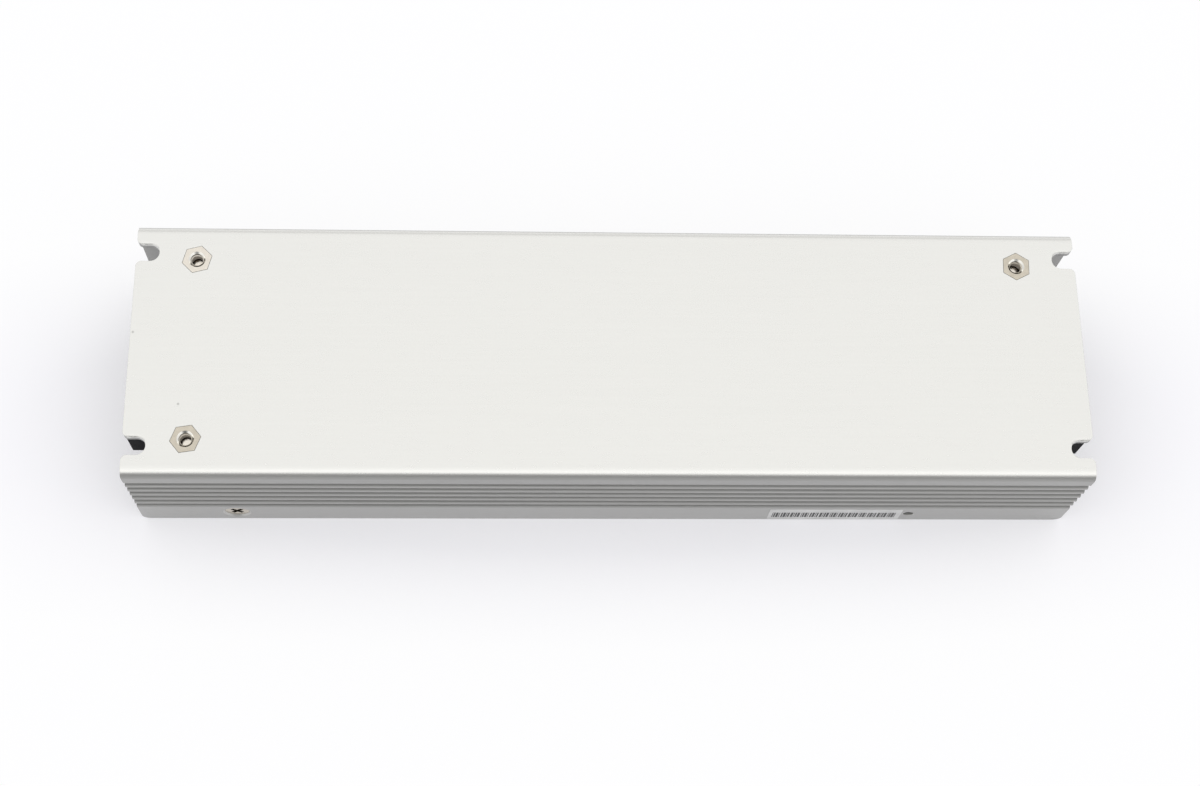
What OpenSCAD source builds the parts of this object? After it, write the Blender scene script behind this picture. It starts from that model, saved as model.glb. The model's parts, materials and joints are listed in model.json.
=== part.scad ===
// Slim switching power supply for LED panels: a ribbed extruded aluminium channel that lies with its
// base plate upwards, a vented cover between the wall edges, and a populated board hung from standoffs.
// Millimetres. Origin under the middle of the part, +X along the length, +Z towards the base face.

/* [Housing] */
// Length of the extruded channel
body_l = 220; // [200:1:260]
// Width over the ribbed side walls
body_w = 61.5; // [58:0.5:80]
// Height from the wall edges to the base face
body_h = 32; // [31:0.5:45]
// Thickness of the base plate
plate_t = 2; // [1.6:0.1:3]
// Thickness of the side walls over the ribs
wall_t = 2.6; // [2.2:0.1:3.6]
// Outside radius between the base plate and a side wall
edge_r = 2.4; // [1:0.1:4]
// Inside radius between the base plate and a side wall
inner_r = 1; // [0.4:0.1:2]
// Radius of the free wall corners at the open ends
corner_r = 2; // [1:0.1:5]

/* [Ribs] */
// Number of rounded ribs on each side wall
rib_n = 5; // [3:1:6]
// Distance between neighbouring ribs
rib_pitch = 3.05; // [2.4:0.05:3.4]
// Depth of the grooves between the ribs
rib_depth = 1.1; // [0.4:0.1:1.2]
// Width of the flat at the bottom of each groove
groove_flat = 0.4; // [0.2:0.1:0.8]
// Distance from the base face to the first groove
rib_start = 6.5; // [5:0.1:8]

/* [Fixing notches] */
// Width of the U-notches in the ends of the base plate
notch_w = 4.3; // [3.5:0.1:6]
// Depth of the notches
notch_d = 5.3; // [4:0.1:8]
// Distance between the notch centres across the plate
notch_span = 47.3; // [42:0.1:49]
// Radius of the corners at the notch mouth
notch_mouth_r = 1.3; // [0.3:0.1:1.4]

/* [Side wall holes] */
// Height of the side wall holes above the wall edge
side_hole_z = 4.7; // [4.2:0.1:6]
// Diameter of the tapped side mounting holes, at the thread core
side_hole_d = 2.5; // [2:0.1:4.2]
// Distance of the side mounting holes from the end of the housing
side_hole_end = 38; // [34:1:60]
// Distance of the cover screws from the end of the housing
cover_screw_end = 22.6; // [22.5:0.1:26]
// Diameter of the cover screw thread
cover_screw_d = 3; // [2.5:0.5:3]
// Diameter of the countersunk cover screw head
cover_head_d = 5.6; // [5:0.1:6.6]
// Depth of the cover screw head below the wall face
cover_head_sink = 0.4; // [0:0.1:0.6]

/* [Cover] */
// Thickness of the cover sheet
cover_t = 1; // [0.8:0.1:1.5]
// Gap between the cover and each side wall
cover_fit = 0.2; // [0.1:0.05:0.5]
// Depth of the cover face below the wall edges
cover_recess = 0.4; // [0.2:0.1:1]
// Distance from the end of the housing to the end of the cover
cover_end = 18; // [14:0.5:18]
// Outside radius of the cover bends
cover_bend_r = 1.6; // [1.5:0.1:2.2]
// Height of the folded lips along the cover
lip_h = 2.5; // [2.2:0.1:3]
// Height of the folded ears that take the cover screws
ear_h = 9; // [8:0.5:11]
// Width of the folded ears
ear_w = 9; // [7:0.2:9.2]
// Diameter of the threaded collar on each ear
collar_d = 5; // [4.5:0.1:6]
// Height of the threaded collar
collar_h = 1.2; // [0.5:0.1:2]
// Width of the vent slots
vent_w = 3; // [2:0.1:4]
// Length of the vent slots
vent_l = 12; // [8:0.5:14]
// Distance between vent slots along the cover
vent_pitch = 8; // [6:0.5:12]
// Distance between the rows of vent slots
vent_row_pitch = 16; // [15:0.5:18]
// Number of rows of vent slots
vent_rows = 3; // [1:2:3]
// Plain margin at each end of the cover
vent_margin = 12; // [8:1:30]

/* [Standoffs and board screws] */
// Distance of the standoffs from the end of the base plate
standoff_end = 14; // [13:0.5:17]
// Distance between the standoffs across the plate
standoff_span = 44; // [40:0.5:46]
// Width across the flats of the standoff head
standoff_af = 6; // [5.8:0.1:8]
// Thickness of the standoff head sunk in the base plate
standoff_head_t = 1.3; // [1:0.1:1.5]
// Gap around the standoff head in its seat
standoff_head_fit = 0.08; // [0.02:0.01:0.15]
// Diameter of the standoff barrel
standoff_d = 5.4; // [4.6:0.1:5.6]
// Length of the standoff below the base plate
standoff_len = 4; // [3.5:0.1:6]
// Diameter of the countersink at the standoff mouth
standoff_mouth_d = 3.9; // [3.4:0.1:4.6]
// Diameter of the board screw thread
board_screw_d = 3; // [2.5:0.5:3]
// Length of the board screw thread
board_screw_len = 5; // [4:0.5:6.5]
// Height of the chamfer at the tip of the board screws
board_screw_tip = 0.5; // [0.2:0.1:0.8]
// Diameter of the board screw head
board_head_d = 5.4; // [4.6:0.1:5.6]
// Height of the board screw head
board_head_h = 2.1; // [1.6:0.1:2.6]
// Gap around a screw thread in its hole
screw_fit = 0.05; // [0.02:0.01:0.2]

/* [Circuit board] */
// Thickness of the circuit board
board_t = 1.6; // [1.2:0.1:2]
// Gap between the board and each side wall
board_side = 1.2; // [0.8:0.1:3]
// Distance from the end of the housing to the wide part of the board
board_end = 8.5; // [7:0.5:9]
// Distance from the end of the housing to the end of the board tongues
tongue_end = 3; // [2:0.5:6]
// Width of the board tongues that carry the terminals
tongue_w = 37; // [30:0.5:38]
// Thickness of the insulation sheet on the base plate
sheet_t = 0.4; // [0.2:0.1:0.6]
// Distance from the end of the housing to the end of the insulation sheet
sheet_end = 9; // [8:0.5:12]

/* [Terminal blocks] */
// Distance between the poles of the terminal blocks
pole_pitch = 9.5; // [9:0.1:9.7]
// Number of poles at the mains end
input_poles = 3; // [2:1:4]
// Number of poles at the output end
output_poles = 4; // [2:1:4]
// Thickness of the barriers between the poles
barrier_t = 1.2; // [0.8:0.1:1.6]
// Depth of the terminal blocks along the housing
block_d = 11; // [10.4:0.1:11.2]
// Height of the barriers at the back of the block
block_h = 13; // [12:0.5:15]
// Height of the barriers at the wire entry
entry_h = 8; // [7.5:0.1:9]
// Length of the low wire entry
entry_l = 3.5; // [2.5:0.5:4]
// Height of the block floor that carries the terminal plates
floor_h = 4; // [3.5:0.1:5]
// Thickness of the block back wall
back_t = 1.6; // [1.2:0.1:2]
// Distance that a block stands out past the end of the base plate
block_overhang = 0.4; // [0:0.1:1]
// Distance from the middle of the housing to the side of the blocks
block_side = 19.4; // [18:0.1:20]
// Thickness of the terminal plates
terminal_plate_t = 0.8; // [0.5:0.1:1]
// Gap between a terminal plate and the block
terminal_fit = 0.2; // [0.1:0.1:0.4]
// Diameter of the terminal screw thread
terminal_screw_d = 3.5; // [3:0.5:4]
// Diameter of the terminal screw head
terminal_head_d = 6; // [5:0.1:6.6]
// Height of the terminal screw head
terminal_head_h = 2; // [1.5:0.1:2.2]
// Width of the square washer under the terminal screw head
washer_w = 6.6; // [6:0.1:7]
// Thickness of the square washer
washer_t = 0.8; // [0.5:0.1:1]

/* [Mains side components] */
// Distance from the end of the housing to the first and last component
chain_end = 18; // [17:0.5:22]
// Outside diameter of the fuse caps
fuse_d = 5.2; // [4.8:0.1:6.5]
// Length of the fuse
fuse_l = 20; // [18:1:22]
// Length of a fuse cap
fuse_cap_l = 5; // [4:0.5:7]
// Wall of the fuse caps over the tube
fuse_cap_t = 0.3; // [0.2:0.1:0.5]
// Thickness of the fuse clips
clip_t = 0.6; // [0.4:0.1:0.8]
// Diameter of the inrush thermistor
thermistor_d = 13; // [9:0.5:14]
// Thickness of the inrush thermistor
thermistor_t = 4.6; // [3.5:0.1:6]
// Thickness of the film capacitor along the board
film_l = 9; // [6:0.5:11]
// Width of the film capacitor across the board
film_w = 26; // [18:0.5:30]
// Height of the film capacitor
film_h = 16; // [10:0.5:19]
// Outside diameter of the filter choke core
filter_od = 18; // [15:0.5:20]
// Inside diameter of the filter choke core
filter_id = 9; // [8:0.5:11]
// Height of the filter choke core
filter_h = 8; // [5:0.5:12]
// Thickness of the windings on both choke cores
winding_t = 1.6; // [1:0.1:2]
// Diameter of the safety capacitors
safety_cap_d = 8.5; // [6:0.5:10]
// Thickness of the safety capacitors
safety_cap_t = 4; // [3:0.1:5]
// Distance from the side walls to the middle of the safety capacitors
safety_cap_side = 9.1; // [7.1:0.1:11.1]
// Width of the bridge rectifier
bridge_w = 20; // [16:0.5:24]
// Thickness of the bridge rectifier
bridge_t = 3.6; // [3:0.1:4]
// Height of the bridge rectifier body
bridge_h = 14; // [10:0.5:16]
// Width of the rectifier heatsink
sink_w = 24; // [22:0.5:28]
// Thickness of the rectifier heatsink
sink_t = 2; // [1:0.1:2.5]
// Height of the rectifier heatsink
sink_h = 17; // [15:0.5:19]
// Gap between the board edge and the rectifier heatsink
sink_edge = 1.5; // [1:0.1:2]
// Diameter of the bulk capacitors
bulk_d = 18; // [14:0.5:19]
// Length of the bulk capacitors
bulk_l = 28; // [20:0.5:32]
// Gap between the two bulk capacitors
bulk_gap = 1.2; // [0.6:0.1:3]

/* [Transformer] */
// Length of the transformer core along the board
core_l = 30; // [28:0.5:34]
// Width of the transformer core across the board
core_w = 30; // [28:0.5:34]
// Thickness of the transformer core
core_t = 11; // [8:0.5:12]
// Width of the middle leg
leg_w = 8; // [6:0.5:10]
// Thickness of the outer legs and the yokes
yoke_t = 4.5; // [3.5:0.1:5]
// Wall of the bobbin
bobbin_t = 1; // [0.8:0.1:1.2]
// Height of the winding over the bobbin
coil_t = 3; // [2:0.1:3.4]
// Gap between the core and the bobbin
core_fit = 0.1; // [0.05:0.05:0.3]

/* [Output side components] */
// Width of a power transistor package
package_w = 9; // [6:0.5:10]
// Length of a power transistor package
package_l = 10; // [8:0.5:11]
// Height of a power transistor package
package_h = 2.3; // [1.5:0.1:2.6]
// Distance between neighbouring power transistors
package_pitch = 11; // [10.5:0.5:13]
// Number of switching transistors
switch_n = 2; // [1:1:3]
// Number of output rectifiers
output_rect_n = 4; // [2:1:4]
// Distance from the side walls to the middle of the power transistors
package_side = 9.1; // [8.1:0.1:11.1]
// Outside diameter of the output choke core
choke_od = 17; // [14:0.5:19]
// Inside diameter of the output choke core
choke_id = 8; // [7.5:0.5:9]
// Height of the output choke core
choke_h = 8; // [5:0.5:12]
// Diameter of the output capacitors
out_cap_d = 10; // [8:0.5:10]
// Height of the output capacitors
out_cap_h = 17; // [12:0.5:19]
// Gap between neighbouring output capacitors
out_cap_gap = 1; // [0.5:0.1:1.5]
// Rows of output capacitors across the board
out_cap_rows = 3; // [2:1:3]
// Columns of output capacitors along the board
out_cap_columns = 2; // [1:1:2]
// Length of the controller chip
chip_l = 10; // [5:0.5:12]
// Width of the controller chip over its leads
chip_w = 6; // [5:0.5:7]
// Height of the controller chip
chip_h = 1.7; // [1.2:0.1:2.5]
// Distance from the front wall to the middle of the small control parts
control_side = 7.6; // [6.6:0.1:8.6]
// Diameter of the indicator lamp
lamp_d = 3; // [3:0.5:5]
// Height of the indicator lamp
lamp_h = 5; // [4:0.5:9]
// Distance from the middle of the housing to the indicator lamp
lamp_side = 10; // [6:0.5:14]

/* [Voltage trimmer] */
// Width of the square trimmer body
trimmer_w = 6.6; // [6:0.1:7]
// Distance from the front wall to the middle of the trimmer
trimmer_side = 6.15; // [5.5:0.05:8.5]
// Height of the trimmer body
trimmer_h = 4.6; // [4:0.1:6]
// Diameter of the trimmer rotor
rotor_d = 3.4; // [2.6:0.1:4.2]
// Radial running gap of the trimmer rotor
rotor_fit = 0.05; // [0.03:0.01:0.1]
// Depth of the rotor seat in the trimmer body
rotor_seat = 2.6; // [2:0.1:3]
// Height of the rotor over the trimmer body
rotor_proud = 0.3; // [0.1:0.1:0.6]
// Width of the screwdriver slot
rotor_slot_w = 0.7; // [0.4:0.1:0.9]
// Depth of the screwdriver slot
rotor_slot_d = 0.8; // [0.5:0.1:1.2]

/* [Hidden] */
$fn = 48;

// Overshoot of cutting shapes past the faces that they cut
over = 1;
// Diameter of component leads
lead_d = 0.8;
// Height of component leads between a body and the board
lead_h = 1.5;
// Driver recess in the crosshead screws: its span as a share of the head, its width and its depth
cross_share = 0.6;
cross_w = 1;
cross_d = 0.9;

// Levels of the stacked sheets, from the base plate towards the cover
plate_z = body_h - plate_t;
board_back = plate_z - standoff_len;
board_face = board_back - board_t;

// Half widths and half lengths shared by the housing and what lies in it
inner_half = body_w / 2 - wall_t;
cover_half = inner_half - cover_fit;
board_half_w = inner_half - board_side;
half_l = body_l / 2;
standoff_x = half_l - standoff_end;
standoff_y = standoff_span / 2;
safety_cap_y = inner_half - safety_cap_side;
package_y = inner_half - package_side;
control_y = control_side - inner_half;
trimmer_y = trimmer_side - inner_half;

// Side sign, front or rear sign and turn of each clinched standoff
standoffs = [[-1, 1, 15], [-1, -1, 9], [1, 1, 27]];

// Rib arcs: the arc meets the wall face at its top and the groove floor at its foot
rib_half = (rib_pitch - groove_flat) / 2;
rib_r = (rib_depth * rib_depth + rib_half * rib_half) / (2 * rib_depth);
rib_first = body_h - rib_start + rib_pitch / 2;
rib_last = rib_first - (rib_n + 1) * rib_pitch;

// Components in a row along the board, with equal gaps between them
station_len = [fuse_d, film_l, filter_od + 2 * winding_t, bulk_l, core_l, choke_od + 2 * winding_t,
    out_cap_columns * (out_cap_d + out_cap_gap)];
station_n = len(station_len);
chain_l = body_l - 2 * chain_end;
function length_before(i) = i == 0 ? 0 : station_len[i - 1] + length_before(i - 1);
station_gap = (chain_l - length_before(station_n)) / (station_n + 1);
function station_x(i) = (i + 1) * station_gap + length_before(i) + station_len[i] / 2 - chain_l / 2;
fuse_x = station_x(0);
film_x = station_x(1);
filter_x = station_x(2);
bulk_x = station_x(3);
transformer_x = station_x(4);
choke_x = station_x(5);
out_cap_x = station_x(6);

// Fuse, thermistor and rectifier places across the board
fuse_axis_h = fuse_d / 2 + clip_t;
fuse_y = fuse_l / 2 + 3;
thermistor_y = -thermistor_d / 2 - 4;
sink_y = -board_half_w + sink_edge + sink_t;

// Terminal block sections, measured from the outer end of the block
block_inner = block_d - back_t;
pole_w = pole_pitch - barrier_t;
terminal_plate_l = block_inner - 2 * terminal_fit;
terminal_screw_x = block_inner - terminal_fit - washer_w / 2;
terminal_top = floor_h + terminal_plate_t;

// Transformer sections about the core axis
window_l = core_l - 2 * yoke_t;
tube_half_w = leg_w / 2 + core_fit;
tube_half_h = core_t / 2 + core_fit;
coil_half_w = tube_half_w + bobbin_t + coil_t;
coil_half_h = tube_half_h + bobbin_t + coil_t;
bobbin_l = window_l - 2 * core_fit;
transformer_axis = coil_half_h + lead_h;

// Copies its children on both sides of the middle of the width
module both_sides() {
    children();
    mirror([0, 1, 0]) children();
}

// Copies its children at both ends of the length
module both_ends() {
    children();
    mirror([1, 0, 0]) children();
}

// Repeats its children on the rear wall, turned half round
module both_walls() {
    children();
    rotate([0, 0, 180]) children();
}

// Places a component that stands on the board face, which looks down
module on_face(x, y) {
    translate([x, y, board_face]) rotate([180, 0, 0]) children();
}

// Places a component that stands on the back of the board
module on_back(x, y) {
    translate([x, y, board_back]) children();
}

// Places its children at each standoff, turned as that standoff is
module at_standoffs() {
    for (s = standoffs)
        translate([s[0] * standoff_x, s[1] * standoff_y, 0]) rotate([0, 0, s[2]]) children();
}

module rounded_rect(x, y, r) {
    square([x - 2 * r, y], center = true);
    square([x, y - 2 * r], center = true);
    for (sx = [-1, 1], sy = [-1, 1])
        translate([sx * (x / 2 - r), sy * (y / 2 - r)]) circle(r);
}

// Hexagon head of a standoff, or its seat in the base face with a gap around it
module standoff_head(h, fit = 0) {
    translate([0, 0, body_h - standoff_head_t]) linear_extrude(h)
        circle(r = (standoff_af / 2 + fit) / cos(30), $fn = 6);
}

// Region outside a rounded corner whose tips lie at [0, 0] and [r, r]
module corner_waste(r) {
    difference() {
        translate([-over, 0]) square([r + over, r + over]);
        translate([r, 0]) circle(r);
    }
}

module cross_recess(head_d) {
    span = cross_share * head_d;
    for (turn = [0, 90])
        rotate([0, 0, turn]) translate([-span / 2, -cross_w / 2, 0])
            cube([span, cross_w, cross_d + over]);
}

// Housing

// Section of the front wall with its ribs; x runs inwards from the outer face
module wall_section() {
    difference() {
        square([wall_t, body_h]);
        translate([-over, rib_last]) square([over + rib_depth, rib_first - rib_last]);
    }
    intersection() {
        translate([0, rib_last]) square([wall_t / 2 + rib_depth / 2, rib_first - rib_last]);
        for (i = [0 : rib_n + 1])
            translate([rib_r, rib_first - i * rib_pitch]) circle(rib_r);
    }
}

module channel_section() {
    difference() {
        union() {
            for (side = [0, 1])
                mirror([side, 0]) {
                    translate([-body_w / 2, 0]) wall_section();
                    translate([-inner_half, plate_z]) mirror([0, 1]) difference() {
                        square(inner_r);
                        translate([inner_r, inner_r]) circle(inner_r);
                    }
                }
            translate([-body_w / 2, plate_z]) square([body_w, plate_t]);
        }
        for (side = [0, 1])
            mirror([side, 0]) translate([-body_w / 2, body_h - edge_r]) corner_waste(edge_r);
    }
}

// Plan of an end notch; the end of the plate lies at x = 0
module notch_plan() {
    floor_x = notch_w / 2 - notch_d;
    translate([floor_x, 0]) circle(d = notch_w);
    translate([floor_x, -notch_w / 2]) square([over - floor_x, notch_w]);
    for (side = [0, 1])
        mirror([0, side]) translate([0, notch_w / 2]) difference() {
            translate([-notch_mouth_r, -notch_w / 4])
                square([notch_mouth_r + over, notch_mouth_r + notch_w / 4]);
            translate([-notch_mouth_r, notch_mouth_r]) circle(notch_mouth_r);
        }
}

module wall_corner_cut() {
    translate([half_l, 0, 0]) rotate([90, 0, 0]) linear_extrude(body_w + 2 * over, center = true)
        translate([0, corner_r]) rotate(180) corner_waste(corner_r);
}

// Puts its children on the outer face of the front wall, with +Z pointing inwards
module on_front_wall(x) {
    translate([x, -body_w / 2, side_hole_z]) rotate([-90, 0, 0]) children();
}

// Cone of a cover screw head from a depth in the wall inwards, or of its seat with a gap around it
module countersink(from, fit) {
    mouth_d = cover_head_d + 2 * (cover_head_sink - from);
    translate([0, 0, from])
        cylinder(d1 = mouth_d + 2 * fit, d2 = cover_screw_d + 2 * fit, h = (mouth_d - cover_screw_d) / 2);
}

module base_channel() {
    color("gainsboro") difference() {
        rotate([90, 0, 90]) linear_extrude(body_l, center = true) channel_section();
        both_ends() {
            wall_corner_cut();
            both_sides() translate([half_l, notch_span / 2, plate_z - over])
                linear_extrude(plate_t + 2 * over) notch_plan();
        }
        at_standoffs() {
            standoff_head(standoff_head_t + over, standoff_head_fit);
            translate([0, 0, plate_z - over]) cylinder(d = standoff_d, h = plate_t + over);
        }
        both_walls() {
            on_front_wall(cover_screw_end - half_l) {
                countersink(0, screw_fit);
                translate([0, 0, -over])
                    cylinder(d = cover_head_d + 2 * (cover_head_sink + screw_fit), h = over);
                cylinder(d = cover_screw_d + 2 * screw_fit, h = wall_t + over);
            }
            on_front_wall(half_l - side_hole_end) translate([0, 0, -over])
                cylinder(d = side_hole_d, h = wall_t + 2 * over);
        }
    }
}

// Cover

module cover_section() {
    difference() {
        translate([-cover_half, cover_recess]) square([2 * cover_half, lip_h]);
        translate([cover_t - cover_half, cover_recess + cover_t])
            square([2 * (cover_half - cover_t), lip_h + over]);
        for (side = [0, 1])
            mirror([side, 0]) translate([-cover_half, cover_recess + cover_bend_r])
                mirror([0, 1]) corner_waste(cover_bend_r);
    }
}

module vent_slots() {
    field = body_l - 2 * (cover_end + vent_margin);
    columns = floor(field / vent_pitch);
    for (i = [0 : columns], row = [0 : vent_rows - 1])
        translate([(i - columns / 2) * vent_pitch, (row - (vent_rows - 1) / 2) * vent_row_pitch])
            rotate(90) {
                square([vent_l - vent_w, vent_w], center = true);
                for (side = [-1, 1])
                    translate([side * (vent_l - vent_w) / 2, 0]) circle(d = vent_w);
            }
}

module top_cover() {
    ear_x = cover_screw_end - half_l;
    color("silver") difference() {
        union() {
            rotate([90, 0, 90]) linear_extrude(body_l - 2 * cover_end, center = true) cover_section();
            both_walls() {
                translate([ear_x - ear_w / 2, -cover_half, cover_recess + cover_bend_r])
                    cube([ear_w, cover_t, ear_h - cover_bend_r]);
                on_front_wall(ear_x) translate([0, 0, wall_t + cover_fit])
                    cylinder(d = collar_d, h = cover_t + collar_h);
            }
        }
        translate([0, 0, cover_recess - over]) linear_extrude(cover_t + 2 * over) vent_slots();
        both_walls() on_front_wall(ear_x) cylinder(d = cover_screw_d + 2 * screw_fit, h = 4 * wall_t);
    }
}

module cover_screws() {
    shank_l = wall_t + cover_fit + cover_t + collar_h - cover_head_sink;
    color("ivory") both_walls() on_front_wall(cover_screw_end - half_l) difference() {
        union() {
            countersink(cover_head_sink, 0);
            translate([0, 0, cover_head_sink]) cylinder(d = cover_screw_d, h = shank_l);
        }
        translate([0, 0, cover_head_sink - over]) rotate([0, 0, 45]) cross_recess(cover_head_d);
    }
}

// Standoffs, board and its screws

module board_standoffs() {
    color("lightgoldenrodyellow") at_standoffs() difference() {
        union() {
            standoff_head(standoff_head_t);
            translate([0, 0, board_back])
                cylinder(d = standoff_d, h = plate_t + standoff_len - standoff_head_t);
        }
        translate([0, 0, board_back - over])
            cylinder(d = board_screw_d + 2 * screw_fit, h = plate_t + standoff_len + 2 * over);
        mouth_h = (standoff_mouth_d - board_screw_d) / 2 - screw_fit;
        translate([0, 0, body_h - mouth_h])
            cylinder(d1 = board_screw_d + 2 * screw_fit, d2 = standoff_mouth_d, h = mouth_h);
    }
}

module board_screws() {
    color("ivory") at_standoffs() translate([0, 0, board_face]) difference() {
        union() {
            cylinder(d = board_screw_d, h = board_screw_len - board_screw_tip);
            translate([0, 0, board_screw_len - board_screw_tip])
                cylinder(d1 = board_screw_d, d2 = board_screw_d - 2 * board_screw_tip, h = board_screw_tip);
            translate([0, 0, -board_head_h]) cylinder(d = board_head_d, h = board_head_h);
        }
        translate([0, 0, -board_head_h - over]) cross_recess(board_head_d);
    }
}

module thermal_pad_plan(count, margin) {
    square([(count - 1) * package_pitch + package_w + 2 * margin, package_l + 2 * margin], center = true);
}

module insulation_sheet() {
    pad_margin = 1;
    color("whitesmoke") translate([0, 0, plate_z - sheet_t]) linear_extrude(sheet_t) difference() {
        square([body_l - 2 * sheet_end, 2 * (inner_half - inner_r)], center = true);
        at_standoffs() circle(d = standoff_d + 1);
        translate([transformer_x, -package_y]) thermal_pad_plan(switch_n, pad_margin);
        translate([choke_x, package_y]) thermal_pad_plan(output_rect_n, pad_margin);
    }
}

module circuit_board() {
    board_r = 1;
    color("seagreen") translate([0, 0, board_face]) linear_extrude(board_t) difference() {
        union() {
            rounded_rect(body_l - 2 * board_end, 2 * board_half_w, board_r);
            rounded_rect(body_l - 2 * tongue_end, tongue_w, board_r);
        }
        at_standoffs() circle(d = board_screw_d + 4 * screw_fit);
    }
}

// Terminal blocks, built outwards from the board face with the wire entry at x = 0

module barrier(y) {
    translate([0, y + barrier_t, 0]) rotate([90, 0, 0]) linear_extrude(barrier_t)
        polygon([[0, 0], [block_d, 0], [block_d, block_h], [entry_l + block_h - entry_h, block_h],
            [entry_l, entry_h], [0, entry_h]]);
}

module terminal_block(poles) {
    width = poles * pole_pitch + barrier_t;
    difference() {
        union() {
            cube([block_d, width, floor_h]);
            translate([block_inner, 0, 0]) cube([back_t, width, block_h]);
            for (i = [0 : poles])
                barrier(i * pole_pitch);
        }
        at_poles(poles) translate([0, 0, over])
            cylinder(d = terminal_screw_d + 2 * screw_fit, h = block_h);
    }
}

module at_poles(poles) {
    for (i = [0 : poles - 1])
        translate([terminal_screw_x, barrier_t + pole_w / 2 + i * pole_pitch, 0]) children();
}

module terminal_plates(poles) {
    at_poles(poles) translate([0, 0, floor_h]) difference() {
        translate([terminal_fit - terminal_screw_x, terminal_fit - pole_w / 2, 0])
            cube([terminal_plate_l, pole_w - 2 * terminal_fit, terminal_plate_t]);
        translate([0, 0, -over])
            cylinder(d = terminal_screw_d + 2 * screw_fit, h = terminal_plate_t + 2 * over);
    }
}

module terminal_screws(poles) {
    at_poles(poles) difference() {
        union() {
            translate([0, 0, over]) cylinder(d = terminal_screw_d, h = terminal_top - over);
            translate([-washer_w / 2, -washer_w / 2, terminal_top]) cube([washer_w, washer_w, washer_t]);
            translate([0, 0, terminal_top + washer_t]) cylinder(d = terminal_head_d, h = terminal_head_h);
        }
        translate([0, 0, terminal_top + washer_t + terminal_head_h - cross_d])
            cross_recess(terminal_head_d);
    }
}

// Puts a terminal block's pieces at the mains end, with its first side at the front of the housing
module at_input() {
    translate([-half_l - block_overhang, -block_side, board_face]) mirror([0, 0, 1]) children();
}

module at_output() {
    mirror([1, 0, 0]) at_input() children();
}

module input_terminal_block() {
    color("dimgray") at_input() terminal_block(input_poles);
}

module input_terminal_plates() {
    color("khaki") at_input() terminal_plates(input_poles);
}

module input_terminal_screws() {
    color("ivory") at_input() terminal_screws(input_poles);
}

module output_terminal_block() {
    color("dimgray") at_output() terminal_block(output_poles);
}

module output_terminal_plates() {
    color("khaki") at_output() terminal_plates(output_poles);
}

module output_terminal_screws() {
    color("ivory") at_output() terminal_screws(output_poles);
}

// Mains side components

// Puts its children on the fuse axis, with +Z along the axis from the middle of the fuse
module on_fuse_axis() {
    on_face(fuse_x, fuse_y) translate([0, 0, fuse_axis_h]) rotate([90, 0, 0]) children();
}

module fuse_tube() {
    color("lightcyan") on_fuse_axis()
        cylinder(d = fuse_d - 2 * fuse_cap_t, h = fuse_l - 2 * fuse_cap_t, center = true);
}

module fuse_caps() {
    color("silver") on_fuse_axis() for (side = [0, 1])
        mirror([0, 0, side]) translate([0, 0, fuse_l / 2 - fuse_cap_l]) difference() {
            cylinder(d = fuse_d, h = fuse_cap_l);
            translate([0, 0, -fuse_cap_t]) cylinder(d = fuse_d - 2 * fuse_cap_t, h = fuse_cap_l);
        }
}

// Each clip is a sprung cradle under a fuse cap, open away from the board
module fuse_clips() {
    clip_l = 0.8 * fuse_cap_l;
    clip_z = (fuse_l - fuse_cap_l - clip_l) / 2;
    color("khaki") on_fuse_axis() for (side = [0, 1])
        mirror([0, 0, side]) translate([0, 0, clip_z]) linear_extrude(clip_l) difference() {
            union() {
                circle(d = fuse_d + 2 * clip_t);
                translate([-fuse_d / 2, -fuse_axis_h]) square([fuse_d, fuse_axis_h]);
            }
            circle(d = fuse_d);
            translate([-fuse_d, fuse_d / 4]) square([2 * fuse_d, fuse_d]);
        }
}

// Round disc on two leads, with its axis along the housing
module leaded_disc(d, t) {
    translate([0, 0, lead_h + d / 2]) rotate([0, 90, 0]) cylinder(d = d, h = t, center = true);
    for (side = [-1, 1])
        translate([0, side * d / 4, 0]) cylinder(d = lead_d, h = lead_h + d / 2);
}

module inrush_thermistor() {
    color("darkolivegreen") on_face(fuse_x, thermistor_y) leaded_disc(thermistor_d, thermistor_t);
}

module film_capacitor() {
    film_r = 0.8;
    color("goldenrod") on_face(film_x, 0) linear_extrude(film_h) rounded_rect(film_l, film_w, film_r);
}

module ring_core(od, id, h) {
    difference() {
        cylinder(d = od, h = h);
        translate([0, 0, -over]) cylinder(d = id, h = h + 2 * over);
    }
}

// Winding over part of a ring core, as one shell round the core section
module ring_winding(od, id, h, angle) {
    section_w = (od - id) / 2;
    rotate([0, 0, -angle / 2]) rotate_extrude(angle = angle)
        translate([id / 2 + section_w / 2, h / 2]) difference() {
            rounded_rect(section_w + 2 * winding_t, h + 2 * winding_t, winding_t);
            square([section_w + 2 * core_fit, h + 2 * core_fit], center = true);
        }
}

module filter_choke_core() {
    color("dimgray") on_face(filter_x, 0) translate([0, 0, winding_t])
        ring_core(filter_od, filter_id, filter_h);
}

module filter_choke_windings() {
    filter_winding_angle = 140;
    color("chocolate") on_face(filter_x, 0) translate([0, 0, winding_t]) for (turn = [0, 180])
        rotate([0, 0, turn]) ring_winding(filter_od, filter_id, filter_h, filter_winding_angle);
}

module safety_capacitors() {
    color("steelblue") for (side = [-1, 1])
        on_face(filter_x, side * safety_cap_y) leaded_disc(safety_cap_d, safety_cap_t);
}

module rectifier_heatsink() {
    color("lightgray") on_face(film_x, sink_y) difference() {
        translate([-sink_w / 2, 0, 0]) cube([sink_w, sink_t, sink_h]);
        at_rectifier_screw() translate([0, 0, -bridge_t - sink_t - over])
            cylinder(d = board_screw_d + 2 * screw_fit, h = sink_t + 2 * over);
    }
}

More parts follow.
